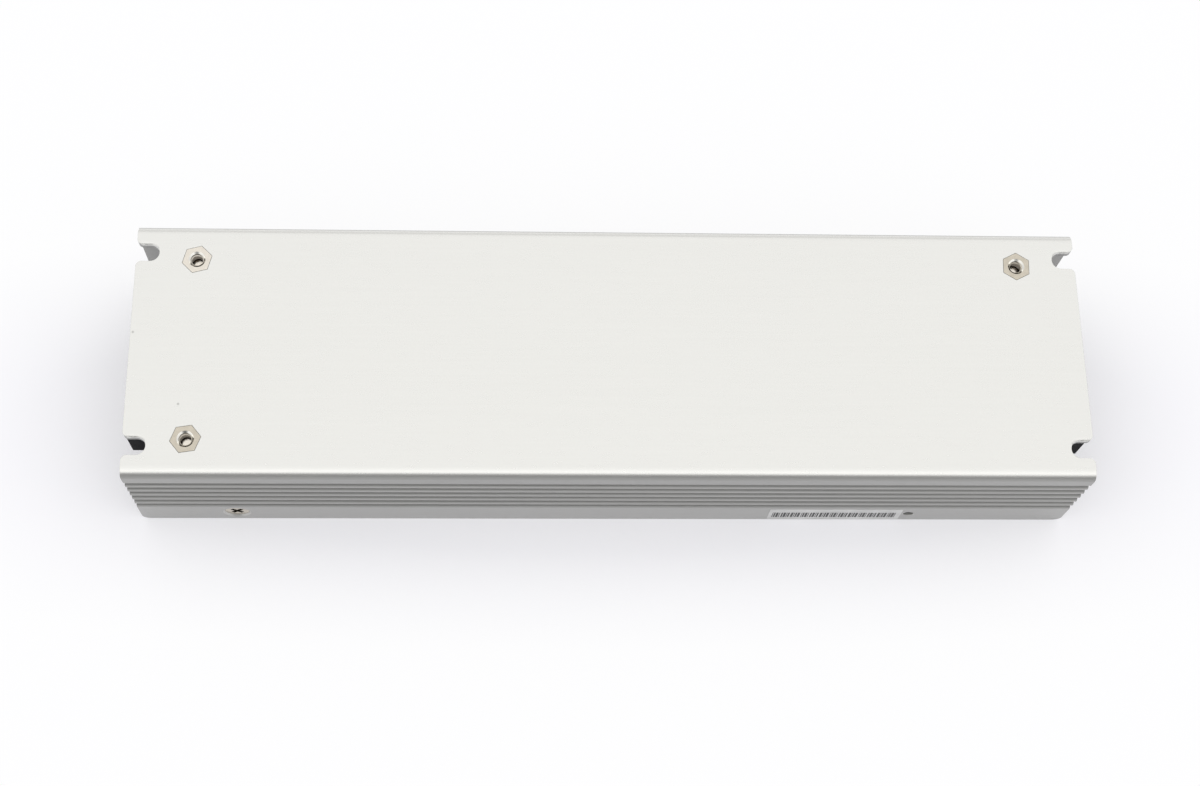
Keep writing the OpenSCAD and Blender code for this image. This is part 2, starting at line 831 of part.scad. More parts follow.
// Puts its children on the axis of the rectifier screw, with +Z out of the rectifier face
module at_rectifier_screw() {
    translate([0, -bridge_t, lead_h + bridge_h / 2]) rotate([90, 0, 0]) children();
}

module bridge_rectifier() {
    color("dimgray") on_face(film_x, sink_y) difference() {
        union() {
            translate([-bridge_w / 2, -bridge_t, lead_h]) cube([bridge_w, bridge_t, bridge_h]);
            for (i = [-1.5 : 1 : 1.5])
                translate([i * bridge_w / 4, -bridge_t / 2, 0]) cylinder(d = lead_d, h = lead_h + over);
        }
        at_rectifier_screw() translate([0, 0, -bridge_t - over])
            cylinder(d = board_screw_d + 2 * screw_fit, h = bridge_t + 2 * over);
    }
}

module rectifier_screw() {
    color("ivory") on_face(film_x, sink_y) at_rectifier_screw() difference() {
        union() {
            cylinder(d = board_head_d, h = board_head_h);
            translate([0, 0, -bridge_t - sink_t]) cylinder(d = board_screw_d, h = bridge_t + sink_t);
        }
        translate([0, 0, board_head_h - cross_d]) cross_recess(board_head_d);
    }
}

// Capacitor can with a crimp groove near its sealed end at z = 0
module capacitor_can(d, h) {
    groove_z = 2.5;
    groove_d = 0.5;
    rotate_extrude() difference() {
        square([d / 2, h]);
        translate([d / 2 + groove_d / 2, groove_z]) circle(groove_d);
    }
}

module bulk_capacitors() {
    color("midnightblue") for (side = [-1, 1])
        on_face(bulk_x, side * (bulk_d + bulk_gap) / 2)
            translate([-bulk_l / 2, 0, bulk_d / 2]) rotate([0, 90, 0]) capacitor_can(bulk_d, bulk_l);
}

// Transformer, about the core axis along the housing

module on_core_axis() {
    on_face(transformer_x, 0) translate([0, 0, transformer_axis]) children();
}

module transformer_core() {
    window_w = (core_w - leg_w) / 2 - yoke_t;
    color("dimgray") on_core_axis() linear_extrude(core_t, center = true) difference() {
        square([core_l, core_w], center = true);
        for (side = [-1, 1])
            translate([0, side * (leg_w + window_w) / 2]) square([window_l, window_w], center = true);
    }
}

module tube_section(half_w, half_h) {
    square([2 * half_h, 2 * half_w], center = true);
}

// Extrudes a section of the coil along the core axis; section x is across the board
module along_core(length) {
    rotate([0, 90, 0]) linear_extrude(length, center = true) children();
}

module transformer_bobbin() {
    rail_w = 2;
    color("black") on_core_axis() difference() {
        union() {
            along_core(bobbin_l) tube_section(tube_half_w + bobbin_t, tube_half_h + bobbin_t);
            for (side = [-1, 1])
                translate([side * (bobbin_l - bobbin_t) / 2, 0, 0]) along_core(bobbin_t)
                    tube_section(coil_half_w, coil_half_h);
            for (side = [-1, 1])
                translate([side * (bobbin_l - rail_w) / 2 - rail_w / 2, -coil_half_w, -transformer_axis])
                    cube([rail_w, 2 * coil_half_w, lead_h + over / 2]);
        }
        along_core(core_l) tube_section(tube_half_w, tube_half_h);
    }
}

module transformer_winding() {
    winding_r = 2;
    winding_fit = 0.05;
    color("gold") on_core_axis() along_core(bobbin_l - 2 * (bobbin_t + winding_fit)) difference() {
        rounded_rect(2 * coil_half_h - 2 * bobbin_t, 2 * coil_half_w - 2 * winding_fit, winding_r);
        tube_section(tube_half_w + bobbin_t + winding_fit, tube_half_h + bobbin_t + winding_fit);
    }
}

// Output side components

module package_row(count) {
    for (i = [0 : count - 1])
        translate([(i - (count - 1) / 2) * package_pitch, 0, 0])
            linear_extrude(package_h) rounded_rect(package_w, package_l, 0.5);
}

module switching_transistors() {
    color("dimgray") on_back(transformer_x, -package_y) package_row(switch_n);
}

module output_rectifiers() {
    color("dimgray") on_back(choke_x, package_y) package_row(output_rect_n);
}

module thermal_pads() {
    pad_t = standoff_len - package_h;
    color("lightsteelblue") for (row = [[transformer_x, -1, switch_n], [choke_x, 1, output_rect_n]])
        on_back(row[0], row[1] * package_y) translate([0, 0, package_h])
            linear_extrude(pad_t) thermal_pad_plan(row[2], 0);
}

module output_choke_core() {
    color("darkgoldenrod") on_face(choke_x, 0) translate([0, 0, winding_t])
        ring_core(choke_od, choke_id, choke_h);
}

module output_choke_winding() {
    choke_winding_angle = 300;
    color("chocolate") on_face(choke_x, 0) translate([0, 0, winding_t])
        ring_winding(choke_od, choke_id, choke_h, choke_winding_angle);
}

module output_capacitors() {
    pitch = out_cap_d + out_cap_gap;
    color("darkslategray") for (i = [0 : out_cap_columns - 1], j = [0 : out_cap_rows - 1])
        on_face(out_cap_x + (i - (out_cap_columns - 1) / 2) * pitch, (j - (out_cap_rows - 1) / 2) * pitch)
            capacitor_can(out_cap_d, out_cap_h);
}

// Moulded chip with a row of leads along each side
module leaded_chip(l, w, h, pins) {
    shoulder = 0.9;
    pin_w = 0.45;
    pin_t = 0.2;
    translate([-l / 2, shoulder - w / 2, pin_t]) cube([l, w - 2 * shoulder, h - pin_t]);
    for (i = [0 : pins - 1])
        translate([(i + 0.5) * l / pins - l / 2 - pin_w / 2, -w / 2, 0]) cube([pin_w, w, pin_t]);
}

module controller_chip() {
    color("dimgray") on_face(choke_x, control_y) leaded_chip(chip_l, chip_w, chip_h, 8);
}

module optocoupler() {
    opto_l = 4.6;
    opto_w = 7;
    opto_h = 3.5;
    color("ghostwhite") on_face(transformer_x, control_y) leaded_chip(opto_l, opto_w, opto_h, 2);
}

module indicator_lamp() {
    rim = 0.4;
    color("limegreen") on_face(standoff_x, -lamp_side) {
        cylinder(d = lamp_d + 2 * rim, h = 1);
        cylinder(d = lamp_d, h = lamp_h - lamp_d / 2);
        translate([0, 0, lamp_h - lamp_d / 2]) sphere(d = lamp_d);
    }
}

// Voltage trimmer in the free corner by the output terminals

module at_trimmer() {
    on_face(standoff_x, trimmer_y) children();
}

module trimmer_body() {
    color("royalblue") at_trimmer() difference() {
        linear_extrude(trimmer_h) rounded_rect(trimmer_w, trimmer_w, 0.4);
        translate([0, 0, trimmer_h - rotor_seat])
            cylinder(d = rotor_d + 2 * rotor_fit, h = rotor_seat + over);
    }
}

module trimmer_rotor() {
    color("white") at_trimmer() translate([0, 0, trimmer_h - rotor_seat + rotor_fit]) difference() {
        cylinder(d = rotor_d, h = rotor_seat - rotor_fit + rotor_proud);
        translate([-rotor_d, -rotor_slot_w / 2, rotor_seat - rotor_fit + rotor_proud - rotor_slot_d])
            cube([2 * rotor_d, rotor_slot_w, rotor_slot_d + over]);
    }
}

base_channel();
top_cover();
cover_screws();
board_standoffs();
board_screws();
insulation_sheet();
circuit_board();
input_terminal_block();
input_terminal_plates();
input_terminal_screws();
output_terminal_block();
output_terminal_plates();
output_terminal_screws();
fuse_tube();
fuse_caps();
fuse_clips();
inrush_thermistor();
film_capacitor();
filter_choke_core();
filter_choke_windings();
safety_capacitors();
bridge_rectifier();
rectifier_heatsink();
rectifier_screw();
bulk_capacitors();
transformer_core();
transformer_bobbin();
transformer_winding();
switching_transistors();
output_rectifiers();
thermal_pads();
output_choke_core();
output_choke_winding();
output_capacitors();
controller_chip();
optocoupler();
indicator_lamp();
trimmer_body();
trimmer_rotor();
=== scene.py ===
"""Looks of a slim LED power supply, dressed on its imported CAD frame.

Sizes and places on the part are in millimetres, those of the stage and the camera in metres.
"""

import json
import math

import bmesh
import bpy
from mathutils import Matrix, Vector


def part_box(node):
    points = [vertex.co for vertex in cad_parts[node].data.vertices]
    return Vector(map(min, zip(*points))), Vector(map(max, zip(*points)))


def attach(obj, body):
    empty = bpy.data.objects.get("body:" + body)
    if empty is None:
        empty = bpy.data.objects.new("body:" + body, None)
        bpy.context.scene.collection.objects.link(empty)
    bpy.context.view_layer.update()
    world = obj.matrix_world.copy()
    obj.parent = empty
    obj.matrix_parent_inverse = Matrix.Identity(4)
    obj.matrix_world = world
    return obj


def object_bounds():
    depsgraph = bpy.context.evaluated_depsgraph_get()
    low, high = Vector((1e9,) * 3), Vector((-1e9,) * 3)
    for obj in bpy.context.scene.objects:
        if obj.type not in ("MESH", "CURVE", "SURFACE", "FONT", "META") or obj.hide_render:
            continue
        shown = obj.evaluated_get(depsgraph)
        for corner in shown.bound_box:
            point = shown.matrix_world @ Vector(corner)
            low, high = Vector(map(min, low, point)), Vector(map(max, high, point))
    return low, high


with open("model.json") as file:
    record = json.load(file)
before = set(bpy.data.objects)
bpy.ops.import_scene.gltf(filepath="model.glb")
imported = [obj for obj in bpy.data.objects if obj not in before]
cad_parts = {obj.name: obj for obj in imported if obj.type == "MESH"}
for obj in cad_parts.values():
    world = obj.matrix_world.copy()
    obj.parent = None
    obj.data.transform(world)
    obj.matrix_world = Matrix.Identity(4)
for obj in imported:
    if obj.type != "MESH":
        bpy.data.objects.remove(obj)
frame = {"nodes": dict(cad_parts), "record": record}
nodes = frame["nodes"]
cad_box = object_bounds()
scene = bpy.context.scene
scene.view_settings.view_transform = "Standard"

MM = 0.001
HOUSING = "housing"
# Height of the base face, and distance of the walls' outer faces from the middle
BASE_FACE = cad_box[1][2] / MM
SIDE_FACE = cad_box[1][1] / MM


# Shader helpers


class Tree:
    """The node tree of a material or a world, with short ways to add and join nodes."""

    def __init__(self, owner):
        owner.use_nodes = True
        self.nodes = owner.node_tree.nodes
        self.links = owner.node_tree.links

    def add(self, kind, inputs=None, **settings):
        node = self.nodes.new(kind)
        for setting, value in settings.items():
            setattr(node, setting, value)
        for socket, value in (inputs or {}).items():
            node.inputs[socket].default_value = value
        return node

    def join(self, source, target):
        self.links.new(source, target)

    def combine(self, operation, first, second):
        """Joins two factors by an operation of arithmetic."""
        both = self.add("ShaderNodeMath", operation=operation)
        self.join(first, both.inputs[0])
        self.join(second, both.inputs[1])
        return both.outputs["Value"]

    def ramp(self, factor, stops):
        """Grey levels along a factor, from pairs of place and level in rising order."""
        ramp = self.add("ShaderNodeValToRGB")
        elements = ramp.color_ramp.elements
        for place, _ in stops[1:-1]:
            elements.new(place)
        for element, (place, level) in zip(elements, stops):
            element.position = place
            element.color = (level, level, level, 1.0)
        self.join(factor, ramp.inputs["Fac"])
        return ramp.outputs["Color"]


class Shader(Tree):
    """A material with its Principled surface, and the textures and masks that drive it."""

    def __init__(self, name):
        self.material = bpy.data.materials.new(name)
        super().__init__(self.material)
        self.surface = self.nodes["Principled BSDF"]

    def place(self, stretch):
        """Object coordinates, scaled to that many features a metre along X, Y and Z."""
        coordinates = self.add("ShaderNodeTexCoord")
        mapping = self.add("ShaderNodeMapping", {"Scale": stretch})
        self.join(coordinates.outputs["Object"], mapping.inputs["Vector"])
        return mapping.outputs["Vector"]

    def noise(self, stretch, detail=3.0, roughness=0.5):
        """Cloudy factor, with about that many features a metre along X, Y and Z."""
        texture = self.add("ShaderNodeTexNoise", {"Scale": 1.0, "Detail": detail, "Roughness": roughness})
        self.join(self.place(stretch), texture.inputs["Vector"])
        return texture.outputs["Fac"]

    def spread(self, factor, low, high, start=0.3, end=0.7):
        """Maps a factor's range from start to end onto low to high, and stays level outside it."""
        ranged = self.add(
            "ShaderNodeMapRange",
            {"From Min": start, "From Max": end, "To Min": low, "To Max": high},
        )
        self.join(factor, ranged.inputs["Value"])
        return ranged.outputs["Result"]

    def upness(self):
        """Height of the surface normal: 1 on a face that looks up, 0 on a wall."""
        coordinates = self.add("ShaderNodeTexCoord")
        parts = self.add("ShaderNodeSeparateXYZ")
        self.join(coordinates.outputs["Normal"], parts.inputs["Vector"])
        return parts.outputs["Z"]

    def beyond(self, direction, low, high):
        """0 short of the lower distance along a direction and 1 past the higher one, in millimetres."""
        coordinates = self.add("ShaderNodeTexCoord")
        product = self.add("ShaderNodeVectorMath", {1: direction}, operation="DOT_PRODUCT")
        self.join(coordinates.outputs["Object"], product.inputs[0])
        return self.spread(product.outputs["Value"], 0.0, 1.0, start=low * MM, end=high * MM)

    def near(self, point, inner, outer):
        """1 within the inner distance of a point and 0 beyond the outer one, in millimetres."""
        coordinates = self.add("ShaderNodeTexCoord")
        centre = tuple(value * MM for value in point)
        distance = self.add("ShaderNodeVectorMath", {1: centre}, operation="DISTANCE")
        self.join(coordinates.outputs["Object"], distance.inputs[0])
        return self.spread(distance.outputs["Value"], 1.0, 0.0, start=inner * MM, end=outer * MM)

    def openness(self, reach, closed, open_to):
        """0 deep in a hole and 1 on a free face, by the open directions within a reach in millimetres."""
        shadow = self.add("ShaderNodeAmbientOcclusion", {"Distance": reach * MM}, samples=8)
        return self.spread(shadow.outputs["AO"], 0.0, 1.0, start=closed, end=open_to)

    def soften(self, factor, least, most):
        """Normals that roll over sharp edges, by a radius that grows with a factor, in millimetres."""
        bevel = self.add("ShaderNodeBevel", samples=12)
        radius = self.spread(factor, least * MM, most * MM, start=0.0, end=1.0)
        self.join(radius, bevel.inputs["Radius"])
        return bevel.outputs["Normal"]

    def mix(self, factor, first, second):
        """Mixes two colours, each a colour or the output of another node."""
        blend = self.add("ShaderNodeMix", data_type="RGBA")
        self.join(factor, blend.inputs["Factor"])
        for socket, colour in (("A", first), ("B", second)):
            target = next(s for s in blend.inputs if s.name == socket and s.type == "RGBA")
            if isinstance(colour, bpy.types.NodeSocket):
                self.join(colour, target)
            else:
                target.default_value = (*colour, 1.0)
        return next(s for s in blend.outputs if s.type == "RGBA")

    def vary(self, factor, colour, share):
        """A colour that gets darker and lighter by a share of itself, with a factor."""
        return self.mix(self.spread(factor, 0.0, 1.0), shade(colour, -share), shade(colour, share))

    def dim(self, colour, factor):
        """A colour times a factor that varies over the surface."""
        scaled = self.add("ShaderNodeVectorMath", operation="SCALE")
        self.join(colour, scaled.inputs[0])
        self.join(factor, scaled.inputs["Scale"])
        return scaled.outputs["Vector"]

    def paint(self, colour):
        self.join(colour, self.surface.inputs["Base Color"])

    def roughen(self, factor):
        self.join(factor, self.surface.inputs["Roughness"])

    def emboss(self, height, depth, normal=None):
        """Bump from a height factor, with the depth of the relief in millimetres."""
        bump = self.add("ShaderNodeBump", {"Strength": 1.0, "Distance": depth * MM})
        self.join(height, bump.inputs["Height"])
        if normal:
            self.join(normal, bump.inputs["Normal"])
        self.join(bump.outputs["Normal"], self.surface.inputs["Normal"])

    def set(self, **values):
        """Sets constants on the surface; an underscore in a name stands for the socket's space."""
        for socket, value in values.items():
            self.surface.inputs[socket.replace("_", " ")].default_value = value


def shade(colour, amount):
    """A colour made lighter or darker by a share of itself."""
    return tuple(min(1.0, channel * (1.0 + amount)) for channel in colour)


# Materials

UP = (0.0, 0.0, 1.0)
REAR_LEFT = (-1.0, 1.0, 0.0)

# Aluminium: colours and grain, and ranges of height and of the normal's rise where each tone comes in. The
# base face has a lengthwise brushing and a lighter tone; the walls' darker tone is partly mill finish and
# partly painted shade
BRUSHED = (0.78, 0.775, 0.745)
SHADED_MILL = (0.412, 0.41, 0.398)
GRAIN = (30, 5200, 5200)
GRAIN_DEPTH = 0.002
MOTTLE = (260, 900, 900)
PLATE_HEIGHT = (27.5, 28.5)
PLATE_RISE = (0.55, 0.82)
# Painted shade on slopes that face partly up, such as the lower part of the rounded edges and the ribs'
# upper flanks, and on the walls' top shoulder
SLOPE_RISE = (0.0, 0.5)
SLOPE_SHADE = 0.25
SHOULDER_HEIGHT = (24.5, 26.0)
SHOULDER_SHADE = 0.12
# Painted highlight along the rounded edges, where they start to turn down from the base face
EDGE_HIGHLIGHT_RISE = (0.9, 0.99)
EDGE_HIGHLIGHT = 0.08
# Edges that the saw and the punch rolled over, most of all at the rear rims of the notches
EDGE_ROLL = 0.1
NOTCH_ROLL = 1.2
NOTCH_REACH = (2.4, 2.9)
# Heights above which the notches' rear rims take the base face's lighter tone, as a painted highlight
NOTCH_HIGHLIGHT_HEIGHT = (30.9, 31.2)
NOTCH_X = 106.6
NOTCH_REAR_Y = (-20.5, 26.8)
NOTCH_RIMS = [(x, y, BASE_FACE) for x in (-NOTCH_X, NOTCH_X) for y in NOTCH_REAR_Y]
# Lighter tone where the walls were drilled, partly bare cut metal and partly painted light that lifts the
# shade in the holes and paints a highlight on the countersinks: a countersink and a tapped hole in each,
# half a turn apart
COUNTERSINK = ((-87.4, -SIDE_FACE, 4.7), 3.2)
TAPPED_HOLE = ((72.0, -SIDE_FACE, 4.7), 1.3)
CUT_HOLES = [
    ((turn * x, turn * y, z), radius)
    for (x, y, z), radius in (COUNTERSINK, TAPPED_HOLE)
    for turn in (1, -1)
]
CUT_FADE = 0.1
CUT_METAL_AND_HIGHLIGHT = 0.35
# Small dark nicks in the base face
NICKS = ((-109.4, 3.7, BASE_FACE), (-98.1, -13.7, BASE_FACE))
NICK_R = 0.4
NICK_SHADE = 0.5

# Plating: colours, with ranges for the painted light towards the rear left corner, the painted shade deep
# in holes and the painted glints on slants
NICKEL = (0.60, 0.55, 0.46)
# Lighter copy of the nickel, painted light towards the rear left corner
NICKEL_LIT = (0.76, 0.71, 0.63)
# Lighter still, for the board screws: painted light on their tips deep in the standoff mouths
NICKEL_LIT_WHITE = shade(NICKEL_LIT, 0.1)
BRASS = (0.78, 0.66, 0.40)
LIT_CORNER = (80.0, 110.0)
DULL = 0.12
DULL_LIT = 0.08
# Painted shade deep in holes: its colour, how far it looks for cover and the openness over which it fades
HOLE_SHADE = (0.05, 0.035, 0.02)
HOLE_SHADE_REACH = 3.0
HOLE_SHADE_OPENING = (0.42, 0.82)
# Painted glint: near-white tone on slants that face partly up, like the standoff mouths' cones
SLANT_GLINT = (0.96, 0.94, 0.88)
SLANT_STARTS = (0.5, 0.65)
SLANT_ENDS = (0.7, 0.87)

LAMINATE = (0.30, 0.31, 0.13)


def extruded_aluminium(name, face, side, face_rough, side_rough, variation):
    """Bare aluminium: lighter base face with a lengthwise brushing, walls darker partly by mill finish and
    partly by painted shade, painted shade on slopes, painted highlights on edges and rims, grain, cut holes
    and nicks.
    """
    shader = Shader(name)
    grain = shader.noise(GRAIN, detail=4.0, roughness=0.6)
    mottle = shader.noise(MOTTLE, detail=5.0, roughness=0.65)
    upness = shader.upness()
    rims = [shader.near(place, *NOTCH_REACH) for place in NOTCH_RIMS]
    rolled = rims[0]
    for rim in rims[1:]:
        rolled = shader.combine("MAXIMUM", rolled, rim)
    # Painted highlight: the upper part of the notches' rear rims takes the base face's lighter tone
    notch_rim_highlight = shader.combine("MULTIPLY", rolled, shader.beyond(UP, *NOTCH_HIGHLIGHT_HEIGHT))
    # The base face takes its lighter tone where the normal rises; the walls keep the darker tone, partly
    # mill finish and partly painted shade
    level = shader.combine("MAXIMUM", shader.spread(upness, 0.0, 1.0, *PLATE_RISE), notch_rim_highlight)
    brushed_or_rim_highlight = shader.combine("MULTIPLY", level, shader.beyond(UP, *PLATE_HEIGHT))
    # Painted shade: the walls darker on their top shoulder and on slopes that face partly up
    wall = shader.mix(shader.beyond(UP, *SHOULDER_HEIGHT), side, shade(side, -SHOULDER_SHADE))
    painted_shade_wall = shader.mix(shader.spread(upness, 0.0, 1.0, *SLOPE_RISE), wall, shade(side, -SLOPE_SHADE))
    # Painted highlight: the base face lighter where it starts to round over the edges
    plate = shader.mix(shader.spread(upness, 1.0, 0.0, *EDGE_HIGHLIGHT_RISE), face, shade(face, EDGE_HIGHLIGHT))
    tone = shader.mix(brushed_or_rim_highlight, painted_shade_wall, plate)
    # Cut holes lighter: partly bare cut metal, partly painted light that lifts their shade and paints a
    # highlight on the countersinks
    for place, radius in CUT_HOLES:
        tone = shader.mix(shader.near(place, radius, radius + CUT_FADE), tone, shade(side, CUT_METAL_AND_HIGHLIGHT))
    for place in NICKS:
        tone = shader.mix(shader.near(place, 0.0, NICK_R), tone, shade(face, -NICK_SHADE))
    streak = shader.spread(grain, 1.0 - variation, 1.0 + variation)
    wear = shader.combine("MULTIPLY", streak, shader.spread(mottle, 1.0, 1.0 - variation))
    shader.paint(shader.dim(tone, wear))
    finish = shader.spread(brushed_or_rim_highlight, side_rough, face_rough, start=0.0, end=1.0)
    shader.roughen(shader.combine("ADD", finish, shader.spread(mottle, -0.02, 0.02)))
    shader.emboss(grain, GRAIN_DEPTH, normal=shader.soften(rolled, EDGE_ROLL, NOTCH_ROLL))
    shader.set(Metallic=0.6)
    return shader.material


def plated(name, colour, bright, rough, hole_shade=None):
    """Plate with dull patches and painted light towards the rear left; optionally painted shade deep in
    holes and painted glints on slants.
    """
    shader = Shader(name)
    patch = shader.noise((900, 900, 900), detail=4.0)
    # Painted light: the plate lighter towards the rear left of the part
    corner = shader.beyond(REAR_LEFT, *LIT_CORNER)
    tone = shader.mix(corner, colour, bright)
    dull = shader.mix(corner, shade(colour, -DULL), shade(bright, -DULL_LIT))
    plate = shader.mix(shader.spread(patch, 0.0, 1.0), dull, tone)
    if hole_shade:
        # Painted shade: darker deep in holes, by how open each point is
        plate = shader.mix(shader.openness(HOLE_SHADE_REACH, *HOLE_SHADE_OPENING), hole_shade, plate)
        # Painted glints: slants that face partly up get a near-white tone
        upness = shader.upness()
        not_steep = shader.spread(upness, 0.0, 1.0, *SLANT_STARTS)
        not_flat = shader.spread(upness, 1.0, 0.0, *SLANT_ENDS)
        plate = shader.mix(shader.combine("MULTIPLY", not_steep, not_flat), plate, SLANT_GLINT)
    shader.paint(plate)
    shader.roughen(shader.spread(patch, rough - 0.04, rough + 0.06))
    shader.emboss(shader.noise((6000, 6000, 6000)), depth=0.004)
    shader.set(Metallic=1.0)
    return shader.material


def moulded(name, colour, rough, grain=4000, depth=0.01, gloss=0.5):
    """Moulded plastic, dipped epoxy or paper with a fine pebbled skin."""
    shader = Shader(name)
    skin = shader.noise((grain, grain, grain), detail=2.0)
    cloud = shader.noise((160, 160, 160), detail=3.0)
    shader.paint(shader.vary(cloud, colour, share=0.12))
    shader.roughen(shader.spread(skin, rough - 0.05, rough + 0.08))
    shader.emboss(skin, depth)
    shader.set(Specular_IOR_Level=gloss)
    return shader.material


def wound(name, colour, turns):
    """Enamelled wire: fine turns that run round the core, as bands of relief and of tone, which paints
    shade between the turns and a highlight on them.
    """
    shader = Shader(name)
    wave = shader.add("ShaderNodeTexWave", {"Scale": turns, "Distortion": 0.6, "Detail": 1.0})
    shader.join(shader.place((1, 1, 0.3)), wave.inputs["Vector"])
    turn = wave.outputs["Fac"]
    # Painted shade in the grooves between turns and a painted highlight on their crests
    shader.paint(shader.mix(turn, shade(colour, -0.45), shade(colour, 0.15)))
    shader.roughen(shader.spread(turn, 0.25, 0.4))
    shader.emboss(turn, depth=0.15)
    shader.set(Metallic=0.8)
    return shader.material


def solder_mask(name, colour):
    """Green board lacquer over copper tracks, and the bare laminate at the edges."""
    shader = Shader(name)
    tracks = shader.add("ShaderNodeTexVoronoi", {"Scale": 1.0, "Randomness": 0.7}, distance="CHEBYCHEV")
    shader.join(shader.place((110, 150, 0)), tracks.inputs["Vector"])
    copper = shader.spread(tracks.outputs["Distance"], 1.0, 0.0, start=0.34, end=0.36)
    weave = shader.noise((2600, 2600, 2600), detail=2.0)
    lacquer = shader.mix(copper, shade(colour, -0.25), shade(colour, 0.2))
    woven = shader.mix(shader.spread(weave, 0.0, 0.25), lacquer, shade(colour, 0.5))
    level = shader.combine("MULTIPLY", shader.upness(), shader.upness())
    shader.paint(shader.mix(shader.spread(level, 0.0, 1.0), LAMINATE, woven))
    shader.roughen(shader.spread(weave, 0.3, 0.42))
    shader.emboss(copper, depth=0.03)
    return shader.material


def sintered(name, colour, rough):
    """Pressed ferrite or iron powder with a speckled, slightly pitted skin."""
    shader = Shader(name)
    speck = shader.noise((3800, 3800, 3800), detail=5.0, roughness=0.7)
    shader.paint(shader.vary(speck, colour, share=0.3))
    shader.roughen(shader.spread(speck, rough - 0.1, rough + 0.1))
    shader.emboss(speck, depth=0.03)
    return shader.material


def clear(name, colour, rough, transmission):
    """Glass, tinted lens or film that lets light through, with faint smears."""
    shader = Shader(name)
    smear = shader.noise((300, 300, 900), detail=4.0)
    shader.paint(shader.vary(smear, colour, share=0.04))
    shader.roughen(shader.spread(smear, rough, rough + 0.1))
    shader.set(Transmission_Weight=transmission)
    return shader.material


looks = {
    "bare_aluminium": extruded_aluminium(
        "bare_aluminium", BRUSHED, SHADED_MILL, face_rough=0.26, side_rough=0.34, variation=0.01
    ),
    "cover_aluminium": extruded_aluminium(
        "cover_aluminium", SHADED_MILL, SHADED_MILL, face_rough=0.4, side_rough=0.4, variation=0.02
    ),
    "nickel": plated("nickel", NICKEL, NICKEL_LIT, rough=0.2),
    # Nickel with painted shade deep in its holes and painted glints on its slants
    "hole_shaded_nickel": plated("hole_shaded_nickel", NICKEL, NICKEL_LIT, rough=0.14, hole_shade=HOLE_SHADE),
    # Board screws, with painted light on their tips deep in the mouths
    "lit_nickel": plated("lit_nickel", NICKEL_LIT_WHITE, NICKEL_LIT_WHITE, rough=0.2),
    "brass": plated("brass", BRASS, BRASS, rough=0.3),
    "film": clear("film", (0.88, 0.88, 0.84), rough=0.35, transmission=0.5),
    "glass": clear("glass", (0.92, 0.95, 0.95), rough=0.03, transmission=1.0),
    "lamp": clear("lamp", (0.2, 0.75, 0.15), rough=0.1, transmission=0.7),
    "board": solder_mask("board", (0.05, 0.2, 0.08)),
    "copper": wound("copper", (0.55, 0.24, 0.10), turns=420),
    "ferrite": sintered("ferrite", (0.06, 0.06, 0.065), rough=0.5),
    "powder_core": sintered("powder_core", (0.58, 0.48, 0.10), rough=0.6),
    # Darker than real black plastic, as painted shade on the terminal blocks in the shaded inside of the
    # housing
    "black_plastic": moulded("black_plastic", (0.008, 0.008, 0.010), rough=0.45, gloss=0.03),
    "white_plastic": moulded("white_plastic", (0.80, 0.80, 0.77), rough=0.45),
    "blue_plastic": moulded("blue_plastic", (0.05, 0.12, 0.5), rough=0.4),
    "yellow_box": moulded("yellow_box", (0.72, 0.48, 0.08), rough=0.4),
    "olive_epoxy": moulded("olive_epoxy", (0.10, 0.15, 0.07), rough=0.35, grain=900, depth=0.05),
    "blue_epoxy": moulded("blue_epoxy", (0.06, 0.18, 0.5), rough=0.3, grain=900, depth=0.05),
    "can_sleeve": moulded("can_sleeve", (0.02, 0.03, 0.09), rough=0.25, grain=700, depth=0.004),
    "tape": moulded("tape", (0.80, 0.62, 0.05), rough=0.25, grain=600, depth=0.03),
    "pad": moulded("pad", (0.42, 0.5, 0.6), rough=0.75, grain=2200),
    "paper": moulded("paper", (0.62, 0.62, 0.61), rough=0.5, grain=2600),
    "ink": moulded("ink", (0.03, 0.03, 0.03), rough=0.5, grain=2600),
}
# Nodes that look different from others in their material slot
OWN_LOOKS = {
    # Board screws painted lighter, as painted light on their tips deep in the mouths
    "board_screws": "lit_nickel",
    # Standoffs and cover screws take the nickel with painted shade in their holes and painted glints
    "board_standoffs": "hole_shaded_nickel",
    "cover_screws": "hole_shaded_nickel",
}
for part in frame["record"]["subparts"]:
    name = part["node"]
    mesh = nodes[name].data
    mesh.materials.clear()
    mesh.materials.append(looks[OWN_LOOKS.get(name, part["material_slot"])])


# Pieces: the sticker on the front wall, with places in X and Z, and the threads in the standoffs

STICKER_MIDDLE = (54.3, 4.3)
STICKER_SIZE = (31.8, 7.6)
STICKER_CORNER = 0.5
STICKER_THICK = 0.08
BARS_SIZE = (30.0, 3.5)
BARS_BOTTOM = 2.1
BAR_COUNT = 52
BAR_CYCLE = 3
GAP_CYCLE = 4
INK_THICK = 0.01

THREAD_PITCH = 0.5
THREAD_ROOT = 1.57
THREAD_CREST = 1.27
THREAD_LOW = 29.3
THREAD_HIGH = 31.4
# Steps in a turn, and steps over which the ridge runs out
THREAD_STEPS = 48
THREAD_RUNOUT = 8
# Half of the ridge's height at its root and at its crest, as shares of the pitch
FLANK_SHARE = 0.44
TIP_SHARE = 0.08
STANDOFF_X = 96.0
STANDOFF_Y = 22.0
STANDOFFS = {
    "rear_left": (-STANDOFF_X, STANDOFF_Y),
    "front_left": (-STANDOFF_X, -STANDOFF_Y),
    "rear_right": (STANDOFF_X, STANDOFF_Y),
}


